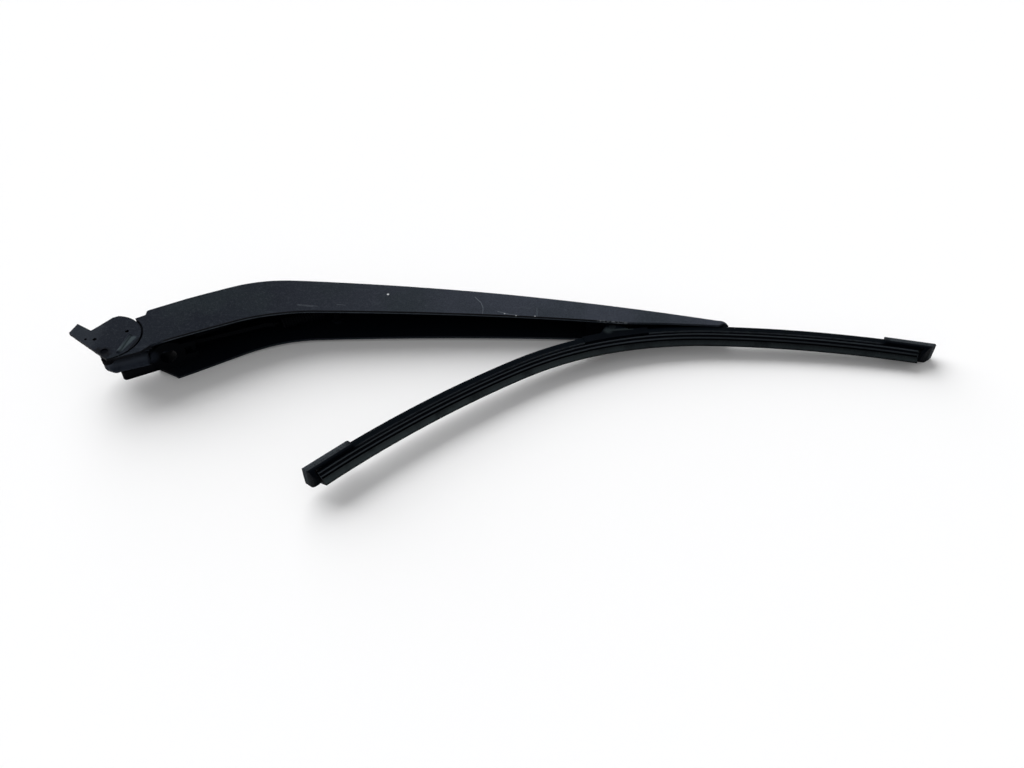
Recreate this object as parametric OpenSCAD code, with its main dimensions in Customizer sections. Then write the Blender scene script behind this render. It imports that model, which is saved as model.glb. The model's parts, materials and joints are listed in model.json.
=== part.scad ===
// Rear wiper arm with its flat blade, lying on its side as it comes to rest.
// Millimetres. The origin is the centre of the spindle bore. X runs along the arm to its tip,
// Y points away from the glass, and Z is across the arm, so the lower wall lies on the ground.

/* [Arm shell] */
// Half of the shell's width at its root
root_half_w = 15.25; // [13:0.25:18]
// Half of the shell's width at the knee
knee_half_w = 12.2; // [10.5:0.1:14]
// Half of the shell's width halfway along
mid_half_w = 9.4; // [8.4:0.1:11]
// Half of the shell's width at the tip
tip_half_w = 5.9; // [5.4:0.1:7]
// Wall thickness of the shell
wall = 1.6; // [1.2:0.1:2]
// Rounding of the long outer edges
edge_r = 2.6; // [1:0.1:4]
// Slope of the root against the glass, in degrees
root_slope = 30; // [26:0.5:33]
// Distance of the knee's crown from the spindle
knee_x = 65; // [60:1:75]
// Height of the knee's crown
knee_y = 56.1; // [52:0.5:60]
// Radius of the knee on the outside
knee_r = 76; // [60:1:90]
// Radius of the long back, from the knee to the tip
back_r = 1500; // [1300:50:2500]
// Distance of the tip from the spindle
tip_x = 320.5; // [316:0.5:330]
// Length of the rounded nose at the tip
nose_len = 7; // [4:0.5:12]
// Height of the rim's crown
rim_y = 30; // [28.5:0.5:31]
// Place of the rim's crown
rim_x = 180; // [160:5:200]
// Radius of the long rim
rim_r = 1900; // [1500:50:2500]
// Radius of the knee on the rim
rim_knee_r = 99; // [85:1:110]
// Place where the rim's knee ends
rim_knee_x = 80; // [76:1:86]
// Height of the rim at the tip, clear of the blade
rim_tip_y = 29.7; // [29:0.1:31]
// Rise of the rim under the nose, over the spoiler
nose_rise = 2.3; // [2:0.1:2.6]
// How much shallower the lower wall is than the upper
lower_trim = 0.8; // [0:0.1:1.5]

/* [Hinge] */
// Hinge axis, distance back from the spindle
hinge_back = 29; // [28:0.5:31]
// Hinge axis, distance towards the glass
hinge_drop = 3; // [2:0.5:4]
// Radius of the hinge plate's round end
disc_r = 18; // [17:0.1:18.4]
// Gap between the plate's round end and the shell
disc_gap = 1.2; // [0.6:0.1:1.6]
// Thickness of the hinge plate
plate_t = 1.8; // [1.2:0.1:2.2]
// Radius of the hinge pin
pin_r = 2.5; // [2:0.1:3]
// Running clearance of the hinge pin
pin_fit = 0.05; // [0.02:0.01:0.1]
// Wall of the hinge bushes
bush_wall = 1; // [0.8:0.1:1.4]
// Radius of the shell's hinge ears
ear_r = 8.2; // [7:0.1:8.5]
// Thickness of the shell's hinge ears
ear_t = 2; // [1.5:0.1:2.2]
// Radius of the tab's small hole
tab_hole_small_r = 0.8; // [0.5:0.1:1]
// Radius of the tab's large hole
tab_hole_large_r = 1.1; // [0.8:0.1:1.5]
// Radius of the bead on the plate
bead_r = 1.3; // [1:0.1:1.8]
// Radius of the plate's stud
stud_r = 2.1; // [1.6:0.1:2.3]

/* [Mounting head] */
// Radius of the spindle bore
bore_r = 4.6; // [4:0.1:5.5]
// Radius of the spindle boss
boss_r = 9.6; // [8.5:0.1:10]
// Length of the spindle boss
boss_len = 13; // [11:0.5:15]
// Radius of the hinge lug
lug_r = 7.4; // [6.5:0.1:8]
// Radius of the rounded bar on the glass side
bar_r = 4.3; // [3.6:0.1:4.6]
// Thickness of the washer between the lug and the shell's ear
washer_t = 0.6; // [0.4:0.1:0.8]

/* [Spring] */
// Mean radius of the coil
coil_r = 3.4; // [3:0.1:3.8]
// Radius of the spring wire
wire_r = 0.75; // [0.6:0.05:0.8]
// Number of turns
coil_turns = 15; // [12:1:18]
// Place of the anchor pin along the arm
anchor_x = 88; // [84:1:92]
// Radius of the anchor pin
anchor_r = 2; // [1.6:0.1:2.4]

/* [Blade] */
// Length of the blade left of its pivot
blade_left = 193; // [188:1:198]
// Length of the blade right of its pivot
blade_right = 181.5; // [174:0.5:185]
// Slope of the blade at its pivot
pivot_slope = 14.3; // [13:0.1:16]
// Half of the blade's width over its steel strips
flexor_half_w = 4.4; // [4:0.1:4.6]
// Width of one steel strip
flexor_w = 3.3; // [2.8:0.1:3.5]
// Thickness of the steel strips
flexor_t = 0.9; // [0.7:0.1:1.1]
// Height of the spoiler above the steel strips
spoiler_h = 4.5; // [4.3:0.1:4.6]
// Depth of the rubber below the steel strips
lip_depth = 8.5; // [7:0.1:9.5]
// Length of an end cap
cap_len = 28; // [24:1:32]
// Slant of the left end cap's closed end
left_slant = 2.5; // [0:0.5:8]
// Slant of the right end cap's closed end
right_slant = 8; // [0:0.5:9]
// Length of an end cap's closed block, where it reaches down to the rubber's heel
cap_block = 2.6; // [2.2:0.1:5]
// Half of an end cap's width
cap_half_w = 5.7; // [5.5:0.1:6.2]
// Length of the connector on the blade
connector_len = 38; // [34:1:42]
// Radius of the blade's pivot pin
pivot_r = 2; // [1.6:0.1:2.3]
// Height of the pivot pin above the steel strips
pivot_h = 7.6; // [7.2:0.1:8]

/* [Hidden] */
$fn = 48;
eps = 0.01;
// Clearance between pieces that move against each other
run_gap = 0.35;
// Clearance between pieces that are fitted together
fit_gap = 0.12;

paint = [0.13, 0.14, 0.17];
cast_colour = [0.1, 0.11, 0.12];
steel = [0.45, 0.46, 0.48];
rubber = [0.05, 0.05, 0.055];
plastic = [0.08, 0.08, 0.09];

function smooth(t) = let (c = max(0, min(1, t))) c * c * (3 - 2 * c);
function unit(a) = [cos(a), sin(a)];

// Outer contour and rim of the shell in the plane of the arm
knee_start = knee_x - knee_r * sin(root_slope);
knee_start_y = knee_y - knee_r + knee_r * cos(root_slope);
function y_out(x) =
    x < knee_start ? knee_start_y + (x - knee_start) * tan(root_slope)
    : x < knee_x ? knee_y - knee_r + sqrt(knee_r * knee_r - (x - knee_x) * (x - knee_x))
    : knee_y - back_r + sqrt(back_r * back_r - (x - knee_x) * (x - knee_x));
function rim_arc(x) = rim_y - rim_r + sqrt(rim_r * rim_r - (x - rim_x) * (x - rim_x));
rim_end_slope = asin((rim_x - rim_knee_x) / rim_r);
rim_cx = rim_knee_x + rim_knee_r * sin(rim_end_slope);
rim_cy = rim_arc(rim_knee_x) - rim_knee_r * cos(rim_end_slope);
rim_start = rim_cx - rim_knee_r * sin(root_slope);
rim_start_y = rim_cy + rim_knee_r * cos(root_slope);
rim_rise_x = 255;
rim_rise_len = 34;
function y_rim(x) =
    x < rim_start ? rim_start_y + (x - rim_start) * tan(root_slope)
    : x < rim_knee_x ? rim_cy + sqrt(rim_knee_r * rim_knee_r - (x - rim_cx) * (x - rim_cx))
    : x < rim_rise_x ? rim_arc(x)
    : rim_arc(rim_rise_x)
        + (rim_tip_y - rim_arc(rim_rise_x)) * smooth((x - rim_rise_x) / rim_rise_len);
function half_w(x) =
    lookup(x, [[8, root_half_w], [60, knee_half_w], [190, mid_half_w], [316, tip_half_w]]);
function slope_out(x) = atan2(y_out(x + 0.5) - y_out(x - 0.5), 1);

// Axes of the hinge and of the root
hinge = [-hinge_back, -hinge_drop];
root_u = unit(root_slope);
root_v = unit(root_slope + 90);
function uv(u, v) = u * root_u + v * root_v;
function to_u(p) = p * root_u;
function to_v(p) = p * root_v;
hinge_u = to_u(hinge);
hinge_v = to_v(hinge);
gap_r = disc_r + disc_gap;
plate_z = root_half_w - plate_t;
ear_z = root_half_w - max(plate_t, wall) - run_gap - ear_t;
head_z = ear_z - washer_t - 0.1;
lug_low = -4.6;
stud_at = [-26.7, -14.3];

// Spring line, from the hook bar of the head to the anchor pin in the shell
bar_pin_r = 1.8;
spring_a = uv(boss_r + 4.6, 1.5);
anchor_y = (y_out(anchor_x) - wall + y_rim(anchor_x)) / 2 + 3.5;
spring_b = [anchor_x, anchor_y];
spring_l = norm(spring_b - spring_a);
spring_dir = (spring_b - spring_a) / spring_l;
spring_ang = atan2(spring_dir[1], spring_dir[0]);
coil_pitch = 2 * wire_r + 0.15;
coil_len = coil_pitch * coil_turns;
loop_r = anchor_r + wire_r + 0.25;
coil_end = spring_l - loop_r - 5;
coil_start = coil_end - coil_len;

// The blade's curve: arcs left and right of the pivot, as [length, turn]
right_arc = [55, -14];
right_end_turn = -12.2;
left_arc = [62, 18.8];
left_end_turn = 12.5;
pivot = [252.6, 27.3];
path_0 = pivot - pivot_h * unit(pivot_slope + 90);
function arc_end(p, a, len, turn) =
    turn == 0 ? p + len * unit(a)
    : p + (len / (turn * PI / 180)) * [sin(a + turn) - sin(a), cos(a) - cos(a + turn)];
right_p = arc_end(path_0, pivot_slope, right_arc[0], right_arc[1]);
left_p = arc_end(path_0, pivot_slope + 180, left_arc[0], left_arc[1]);
function path_a(s) =
    s >= right_arc[0] ? pivot_slope + right_arc[1] + right_end_turn * (s - right_arc[0]) / 129
    : s >= 0 ? pivot_slope + right_arc[1] * s / right_arc[0]
    : s >= -left_arc[0] ? pivot_slope - left_arc[1] * s / left_arc[0]
    : pivot_slope + left_arc[1] - left_end_turn * (s + left_arc[0]) / 126;
function path_p(s) =
    s >= right_arc[0]
    ? arc_end(right_p, pivot_slope + right_arc[1], s - right_arc[0], path_a(s) - pivot_slope - right_arc[1])
    : s >= 0 ? arc_end(path_0, pivot_slope, s, path_a(s) - pivot_slope)
    : s >= -left_arc[0] ? arc_end(path_0, pivot_slope + 180, -s, path_a(s) - pivot_slope)
    : arc_end(left_p, pivot_slope + left_arc[1] + 180, -s - left_arc[0],
        path_a(s) - pivot_slope - left_arc[1]);

// A solid from rings of points, each ring in the same order
module skin(rings) {
    n = len(rings[0]);
    m = len(rings);
    pts = [for (r = rings) for (p = r) p];
    sides = [for (i = [0 : m - 2]) for (j = [0 : n - 1])
        let (a = i * n + j, b = i * n + (j + 1) % n)
        for (f = [[a, b, b + n], [a, b + n, a + n]]) f];
    first = [[for (j = [n - 1 : -1 : 0]) j]];
    last = [[for (j = [0 : n - 1]) (m - 1) * n + j]];
    polyhedron(points = pts, faces = concat(first, sides, last), convexity = 10);
}

// A profile of [height, across] points carried along the blade's curve
function blade_ring(profile, s) =
    [for (q = profile) let (p = on_path(s, q[0])) [p[0], p[1], q[1]]];
module along(profile, s0, s1, steps) {
    skin([for (i = [0 : steps]) blade_ring(profile, s0 + (s1 - s0) * i / steps)]);
}
// A strip in the plane of the arm, between two heights along the blade's curve
function on_path(s, n) = path_p(s) + n * unit(path_a(s) + 90);
function band(n0, n1, s0, s1, steps) = concat(
    [for (i = [0 : steps]) on_path(s0 + (s1 - s0) * i / steps, n0)],
    [for (i = [steps : -1 : 0]) on_path(s0 + (s1 - s0) * i / steps, n1)]);
function mirrored(half) =
    concat(half, [for (i = [len(half) - 1 : -1 : 0]) [half[i][0], -half[i][1]]]);

// Stations along the shell, closer together at the knee and at the nose
function stations(x1) = concat([for (x = [-24 : 6 : 18]) x], [for (x = [22 : 4 : 82]) x],
    [for (x = [92 : 14 : 246]) x], [for (x = [256 : 8 : 312]) if (x < x1 - nose_len - 1) x]);
nose_steps = 6;
function channel_ring(x, top, low, w, r, trim) = concat(
    [[x, low, w]],
    [for (i = [0 : 4]) let (a = i * 22.5) [x, top - r + r * sin(a), w - r + r * cos(a)]],
    [for (i = [0 : 4]) let (a = 90 + i * 22.5) [x, top - r + r * sin(a), -(w - r) + r * cos(a)]],
    [[x, low + trim, -w]]);
function nose(t) = sqrt(max(0, 1 - t * t));
function shell_rings() = concat(
    [for (x = stations(tip_x)) channel_ring(x, y_out(x), y_rim(x), half_w(x), edge_r, trim_at(x))],
    [for (i = [0 : nose_steps]) let (
        t = i / nose_steps * 0.97,
        x = tip_x - nose_len + nose_len * t,
        h = y_out(x) - y_rim(x),
        low = y_rim(x) + nose_rise * smooth((t - 0.05) / 0.45),
        top = y_rim(x) + nose_rise + (h - nose_rise) * (0.12 + 0.88 * nose(t)),
        w = half_w(x) * (0.4 + 0.6 * nose(t)))
        channel_ring(x, top, low, w, min(edge_r, w * 0.6, (top - low) * 0.45), 0)]);
function trim_at(x) = lower_trim * (1 - smooth((x - 200) / 80));
// The channel ends inside the nose, just above the spoiler
bore_end = tip_x - nose_len * 0.46;
function cavity_top(x) = min(y_out(x) - wall / cos(slope_out(x)),
    lookup(x, [[tip_x - nose_len - 6, y_out(x)], [bore_end, y_rim(x) + nose_rise + 0.5]]));
function cavity_w(x) = half_w(x) - wall - (x > bore_end - 1 ? 0.2 : 0);
function cavity_rings() = [for (x = concat(stations(tip_x), [tip_x - nose_len, bore_end]))
    channel_ring(x, cavity_top(x), y_rim(x) - 30, cavity_w(x), max(0.4, edge_r - wall), 0)];

module cyl_z(r, z0, z1) translate([0, 0, z0]) cylinder(r = r, h = z1 - z0);
module slab(z0, z1) translate([0, 0, z0]) linear_extrude(z1 - z0) children();

// Hinge ear: a round end about the hinge axis and a broad root on the wall
module ear_2d(a0, a1, r_out) {
    translate(hinge) circle(r = ear_r);
    lead = acos(ear_r / r_out);
    polygon([hinge, hinge + ear_r * unit(a0 - lead), hinge + r_out * unit(a0),
        hinge + (r_out + 3) * unit((a0 + a1) / 2), hinge + r_out * unit(a1),
            hinge + ear_r * unit(a1 + lead)]);
}
module ear_root_2d(a0, a1, r_out) {
    intersection() {
        difference() {
            translate(hinge) circle(r = r_out + 3);
            translate(hinge) circle(r = gap_r);
        }
        polygon([hinge, hinge + 60 * unit(a0), hinge + 60 * unit((a0 + a1) / 2), hinge + 60 * unit(a1)]);
    }
}

module arm_shell() {
    // Directions from the hinge to the tail's ends, and to the edges of what is cut away round the plate
    tail_from = -62;
    tail_to = -40;
    cut_from = 58;
    cut_to = -63;
    tail = [hinge + gap_r * unit(tail_from), [-7.1, -13.6], [-2.2, -7.1], [4, y_rim(4)], [4, y_rim(4) + 6],
        hinge + gap_r * unit(tail_to)];
    beyond = [hinge, hinge + 80 * unit(cut_from), [-90, 80], [-90, -80], hinge + 80 * unit(cut_to)];
    anchor_in = half_w(anchor_x) - wall;
    socket = [anchor_in - 1.8, anchor_in + wall / 2];
    color(paint) difference() {
        union() {
            difference() {
                skin(shell_rings());
                skin(cavity_rings());
            }
            // Tail of the upper wall beside the plate
            slab(root_half_w - wall, root_half_w) polygon(tail);
            // Hinge ear and its root on the upper wall
            slab(ear_z, ear_z + ear_t) ear_2d(-12, 66, gap_r + 3.4);
            slab(ear_z, root_half_w - wall / 2) ear_root_2d(-10, 60, gap_r + 3.4);
            // Sockets of the spring's anchor pin
            translate(spring_b) cyl_z(anchor_r + 1.4, socket[0], socket[1]);
            translate(spring_b) cyl_z(anchor_r + 1.4, -socket[1], -socket[0]);
        }
        // Round clearance for the hinge plate, in the walls and the back
        translate(hinge) cyl_z(gap_r, ear_z + ear_t, 40);
        translate(hinge) cyl_z(gap_r, -40, -ear_z);
        // Recess of the neck and end of the back
        slab(-40, 40) polygon([[-13.9, 16.5], [-20.5, 12], [-60, -2], [-60, 60], [-13.2, 60], [-13.2, 22],
            [-14.2, 19.6]]);
        // Everything left of the hinge plate's round end, but for the ear
        slab(ear_z + ear_t, 40) polygon(beyond);
        slab(-40, -ear_z) polygon(beyond);
        // Slanted end of the lower wall
        slab(-40, -root_half_w + wall + eps)
            polygon([[3.1, -3.4], [-11.2, 3.6], [-30, 12.8], [-30, -40], [3.1, -40]]);
        // Bores for the hinge pin's bush and the anchor pin
        translate(hinge) cyl_z(pin_r + pin_fit + bush_wall, 0, 40);
        translate(spring_b) cyl_z(anchor_r, -anchor_in, anchor_in);
    }
}

module hinge_plate() {
    p1 = [-51.6, -0.3];
    p2 = [-49.7, 7.5];
    p3 = [-40, 2.1];
    p4 = hinge + disc_r * 0.93 * unit(99);
    color(paint) union() {
        difference() {
            slab(plate_z, root_half_w) union() {
                intersection() {
                    translate(hinge) circle(r = disc_r);
                    polygon([hinge, hinge + 40 * unit(-72.6), hinge + 60 * unit(-20), hinge + 60 * unit(40),
                        hinge + 40 * unit(90)]);
                }
                polygon([p1, hinge + disc_r * unit(-72.6), hinge + [6, 0], hinge + disc_r * unit(89.5),
                    p4, p3,
                    p2]);
            }
            translate([-40.4, -5.1]) cyl_z(tab_hole_small_r, 0, 40);
            translate([-35.4, -4.9]) cyl_z(tab_hole_large_r, 0, 40);
            translate([-19.7, 2.3]) cyl_z(tab_hole_large_r, 0, 40);
            translate(stud_at) cyl_z(stud_r, 0, 40);
        }
        translate([-17.1, -1, root_half_w - 0.5]) rotate([90, 0, -7.5]) union() {
            cylinder(r = bead_r, h = 13.6);
            sphere(r = bead_r);
            translate([0, 0, 13.6]) sphere(r = bead_r);
        }
    }
}

module plate_stud() {
    color(cast_colour) translate(stud_at) union() {
        cyl_z(stud_r, 8.4, root_half_w - 0.5);
    }
}

module mounting_head() {
    block = [[-24.3, 2.8], [-6, 2.3], [-6, 9], [-26.8, 9], [-26.8, 5.3]];
    color(cast_colour) difference() {
        union() {
            translate(hinge) cyl_z(lug_r, lug_low, head_z);
            rotate([0, 0, root_slope]) {
                // Spindle boss
                rotate([90, 0, 0]) translate([0, 0, -boss_len + 1.5]) cylinder(r = boss_r, h = boss_len);
                // Body between the hinge lug and the boss
                slab(lug_low + 0.5, head_z - 0.4) polygon([[hinge_u + 1.5, hinge_v - 6.5], [-6, 3.5], [-2, 3.5],
                    [-2, 11], [hinge_u + 9, hinge_v + 4], [hinge_u + 1.8, hinge_v + 6.3]]);
                slab(-head_z, lug_low + 2) polygon([[-26.5, 8.2], [-6.2, 3.9], [-1.8, 3.9],
                    [-1.8, 10.8], [-20, 12.8]]);
                // Rounded bar on the glass side
                translate([-27.7, 5.1, 0]) rotate([0, 90, -7]) cylinder(r = bar_r, h = 18.6);
                translate([-27.7, 5.1, 0]) sphere(r = bar_r + 0.15);
                // Lower block under the bar, with a thin flange at its foot
                slab(-head_z, -bar_r - 0.5) union() {
                    polygon(block);
                    translate([-24.3, 5.3]) circle(r = 2.5);
                }
                slab(-head_z, -head_z + 1) translate([0, -0.6]) union() {
                    polygon(block);
                    translate([-24.3, 5.3]) circle(r = 2.5);
                }
                // Cheeks of the spring's hook bar
                for (z = [-1, 1]) slab(z > 0 ? 2.6 : -5.8, z > 0 ? 5.8 : -2.6) union() {
                    polygon([[4, -1.5], [boss_r + 2, -1.5], [boss_r + 4.6, -1.9],
                        [boss_r + 4.6, 4.9], [4, 8]]);
                    translate([boss_r + 4.6, 1.5]) circle(r = 3.4);
                }
            }
            translate(spring_a) cyl_z(bar_pin_r, -4, 4);
            // Seat of the plate's stud
            translate(stud_at) cyl_z(stud_r + 1, 7.5, head_z - 0.2);
            slab(8, head_z - 0.8) polygon([stud_at + [-2.7, 1.4], stud_at + [2, -2.3], [-18, -8], [-27, -3]]);
        }
        // Spindle bore and the nut's counterbore
        rotate([0, 0, root_slope]) rotate([90, 0, 0]) {
            translate([0, 0, -40]) cylinder(r = bore_r, h = 80);
            translate([0, 0, -40]) cylinder(r = bore_r + 3, h = 34.4);
        }
        // Hole of the hinge pin, with room for its clip below the lug
        translate(hinge) cyl_z(pin_r, -40, 40);
        translate(hinge) cyl_z(pin_r + 1.6, -40, lug_low - 0.3);
        translate(stud_at) cyl_z(stud_r, 8.4, 40);
    }
}

module hinge_pin() {
    groove_z = lug_low - 1;
    color(steel) translate(hinge) difference() {
        cyl_z(pin_r, lug_low - 1.7, plate_z - 0.05);
        difference() {
            cyl_z(pin_r + 1, groove_z, groove_z + 0.6);
            cyl_z(pin_r - 0.5, groove_z - 1, groove_z + 1);
        }
    }
}

module hinge_bush() {
    color([0.75, 0.7, 0.5]) translate(hinge) difference() {
        cyl_z(pin_r + pin_fit + bush_wall, ear_z, ear_z + ear_t + 0.15);
        cyl_z(pin_r + pin_fit, 0, 40);
    }
}

module hinge_washer() {
    color(plastic) translate(hinge) difference() {
        cyl_z(lug_r - 0.6, head_z, head_z + washer_t);
        cyl_z(pin_r + 0.1, 0, 40);
    }
}

module pin_clip() {
    groove_z = lug_low - 1;
    color(steel) translate(hinge) difference() {
        cyl_z(pin_r + 1, groove_z + 0.03, groove_z + 0.57);
        cyl_z(pin_r - 0.48, -40, 0);
        translate([-10, -1.4, -40]) cube([10, 2.8, 80]);
    }
}

// The spring's wire: a short start in the hook, the coil, and the loop round the anchor pin
function coil_pt(s, r, a) = [s, r * cos(a), r * sin(a)];
coil_seg = 12;
function spring_path() = concat(
    [coil_pt(coil_start - 4.2, 0, 0), coil_pt(coil_start - 2.2, 0, 0), coil_pt(coil_start - 0.9,
        coil_r * 0.55, -20)],
    [for (i = [0 : coil_turns * coil_seg]) coil_pt(coil_start + coil_pitch * i / coil_seg, coil_r,
        i * 360 / coil_seg)],
    [coil_pt(coil_end + 0.9, coil_r * 0.55, 20), coil_pt(coil_end + 2, loop_r * 0.9, 8)],
    [for (a = [105 : -25 : -175]) [spring_l + loop_r * cos(a), loop_r * sin(a), a < 60 ? 0 : 0.2]]);
function spring_tan(p, i) = let (a = p[max(0, i - 1)], b = p[min(len(p) - 1, i + 1)]) (b - a) / norm(b - a);
function spring_frames(p, i, u) = i >= len(p) ? [] :
    let (t = spring_tan(p, i), w = u - (u * t) * t, v = w / norm(w))
    concat([[v, cross(t, v)]], spring_frames(p, i + 1, v));
module tension_spring() {
    p = spring_path();
    f = spring_frames(p, 0, [0, 0, 1]);
    rings = [for (i = [0 : len(p) - 1]) [for (k = [0 : 5])
        p[i] + wire_r * (cos(-k * 60) * f[i][0] + sin(-k * 60) * f[i][1])]];
    color(steel) translate([spring_a[0], spring_a[1], 0]) rotate([0, 0, spring_ang]) skin(rings);
}

module spring_hook() {
    inner = bar_pin_r + run_gap;
    outer = inner + 1.8;
    color(steel) translate(spring_a) rotate([0, 0, spring_ang]) slab(-1.3, 1.3) union() {
        intersection() {
            difference() {
                circle(r = outer);
                circle(r = inner);
            }
            polygon([[0, 0], [1, 10], [-20, 10], [-20, -3]]);
        }
        polygon([[0, inner], [coil_start - 9, inner * 0.4], [coil_start - 4.4, -1.2],
            [coil_start - 4.4, 1.2], [coil_start - 9, outer * 0.75], [0, outer]]);
    }
}

module spring_anchor_pin() {
    w = half_w(anchor_x) - wall - 0.02;
    color(steel) translate(spring_b) cyl_z(anchor_r, -w, w);
}

// The adapter: a block wedged in the channel, with a lug for the pivot pin
adapter_x0 = 238;
adapter_x1 = 273;
adapter_low = 31.2;
adapter_top = 39.5;
lug_half = 2.6;
button_x = 240.6;
button_len = 6;
button_travel = 1.6;
function inner_w(x) = half_w(x) - wall - fit_gap;
module blade_adapter() {
    plan = [[adapter_x0, -inner_w(adapter_x0)], [adapter_x1, -inner_w(adapter_x1)],
        [adapter_x1, inner_w(adapter_x1)], [adapter_x0, inner_w(adapter_x0)]];
    color(plastic) difference() {
        union() {
            translate([0, adapter_top, 0]) rotate([90, 0, 0])
                linear_extrude(adapter_top - adapter_low) polygon(plan);
            slab(-lug_half, lug_half) polygon([pivot + [-6, adapter_low - pivot[1] + 1], pivot + [-3, -0.2],
                pivot + [0, -2.5], pivot + [3, -0.2], pivot + [12, adapter_low - pivot[1] + 1]]);
            translate(pivot) cyl_z(pivot_r + 1, -lug_half, lug_half);
        }
        translate(pivot) cyl_z(pivot_r + 0.05, -20, 20);
        // Weight-saving pocket, open towards the back of the arm
        translate([adapter_x0 + 11, adapter_low + 2.4, -3]) cube([20, 20, 6]);
        // Pocket of the button
        translate([button_x - 0.3, adapter_low - 5, -2.5])
            cube([button_len + 0.6, 6.2 + button_travel + 0.35, 5]);
        translate([button_x + 2 - 0.3, adapter_low - 5, -1.5]) cube([2.6, 5 + 6.4, 3]);
    }
}
module adapter_button() {
    color(plastic) union() {
        translate([button_x, adapter_low - 1.2, -2.2]) cube([button_len, 2.4, 4.4]);
        translate([button_x + 2, adapter_low + 1, -1.2]) cube([2, 3.2, 2.4]);
    }
}

module blade_pivot_pin() color(steel) translate(pivot) cyl_z(pivot_r, -5.2, 5.2);

// Connector: clamps the steel strips from above, with two ears for the pivot pin
con_s = connector_len / 2;
con_half_w = 5.3;
ear_in = lug_half + run_gap;
ear_out = con_half_w - 0.1;
module connector_base() {
    f = flexor_t / 2 + fit_gap;
    wf = flexor_half_w + fit_gap;
    color(plastic) difference() {
        union() {
            slab(-con_half_w, con_half_w) polygon(band(-1.4, 3.4, -con_s, con_s, 10));
            slab(-con_half_w + 0.6, con_half_w - 0.6) polygon(band(3.3, 4.2, -con_s, con_s, 10));
            for (z = [-1, 1]) slab(z > 0 ? ear_in : -ear_out, z > 0 ? ear_out : -ear_in) union() {
                translate(pivot) circle(r = pivot_r + 1.5);
                polygon([on_path(-9, 3), on_path(9, 3), pivot + (pivot_r + 1.5) * unit(pivot_slope + 30),
                    pivot + (pivot_r + 1.5) * unit(pivot_slope + 150)]);
            }
        }
        // Channel of the steel strips, and the slot and groove of the rubber
        slab(-wf, wf) polygon(band(-f, f, -con_s - 1, con_s + 1, 12));
        slab(-3.4, 3.4) polygon(band(-3, 0, -con_s - 1, con_s + 1, 12));
        slab(-1.6, 1.6) polygon(band(0, 1.8, -con_s - 1, con_s + 1, 12));
        translate(pivot) cyl_z(pivot_r, -20, 20);
    }
}
module connector_cover() {
    low = 4.2 + fit_gap;
    color(plastic) union() {
        slab(-3.9, 3.9) polygon(band(low, low + 0.4, 9.5, con_s - 1, 4));
        slab(-3.4, 3.4) polygon(band(low + 0.3, 5, 9.5, con_s - 1, 4));
    }
}

// Spoiler: wraps the steel strips and carries three ridges
spoiler_half_w = flexor_half_w + 0.55;
// Where the spoilers and the steel strips end inside the caps, back from the blade's ends
spoiler_gap = 8.4;
strip_gap = 4;
// Share of the slant by which a cap has drawn back at its lowest point
drawn_back = 0.87;
module spoiler(s0, s1, steps) {
    f = flexor_t / 2 + fit_gap;
    wf = flexor_half_w + fit_gap;
    profile = concat(
        mirrored([[-f - 0.5, flexor_half_w - 0.8], [-f - 0.5, spoiler_half_w], [1.7, spoiler_half_w],
            [2.3, 4.4], [3.75, 3.9], [3.2, 2.9], [4.1, 2.2], [3.7, 1.3], [spoiler_h, 0.6]]),
        [[-f, -(flexor_half_w - 0.8)], [-f, -wf], [f, -wf], [f, -1.5], [1.75, -1.5],
            [1.75, 1.5], [f, 1.5], [f, wf], [-f, wf], [-f, flexor_half_w - 0.8]]);
    color(rubber) along(profile, s0, s1, steps);
}
module spoiler_left() spoiler(-blade_left + spoiler_gap, -con_s - 0.1, 20);
module spoiler_right() spoiler(con_s + 0.1, blade_right - spoiler_gap, 18);

module flexor(z0) {
    color(steel) slab(z0, z0 + flexor_w)
        polygon(band(-flexor_t / 2, flexor_t / 2, -blade_left + strip_gap + left_slant * drawn_back / 2,
            blade_right - strip_gap - right_slant * drawn_back / 2, 34));
}
module flexor_upper() flexor(flexor_half_w - flexor_w);
module flexor_lower() flexor(-flexor_half_w);

module wiper_rubber() {
    t = flexor_t / 2 + 0.04;
    core = flexor_half_w - flexor_w - 0.04;
    // From the lip's edge: lip, neck, heel, groove, shoulder, and the core between the steel strips
    profile = mirrored([[-lip_depth, 0.35], [-lip_depth + 2.9, 1.5], [-lip_depth + 3.2, 1.5],
        [-lip_depth + 3.4, 0.5], [-lip_depth + 4.2, 0.5], [-lip_depth + 4.4, 2.8], [-lip_depth + 4.9, 3.2],
        [-lip_depth + 5.3, 3.2], [-lip_depth + 5.45, 2.2], [-2.65, 2.2], [-2.5, 4.1], [-2.1, 4.35],
        [-1.6, 4.2], [-1.5, 3], [-t, 3], [-t, core], [t, core], [t, 1.3], [1.6, 1.3]]);
    end_gap = cap_block + 0.4;
    color(rubber) along(profile, -blade_left + end_gap + left_slant * drawn_back,
        blade_right - end_gap - right_slant * drawn_back, 40);
}

// How far a slanted end has drawn back at a height on the blade, as a share of its slant
function slope_part(n, top) = max(0, top - n) / 8;

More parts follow.
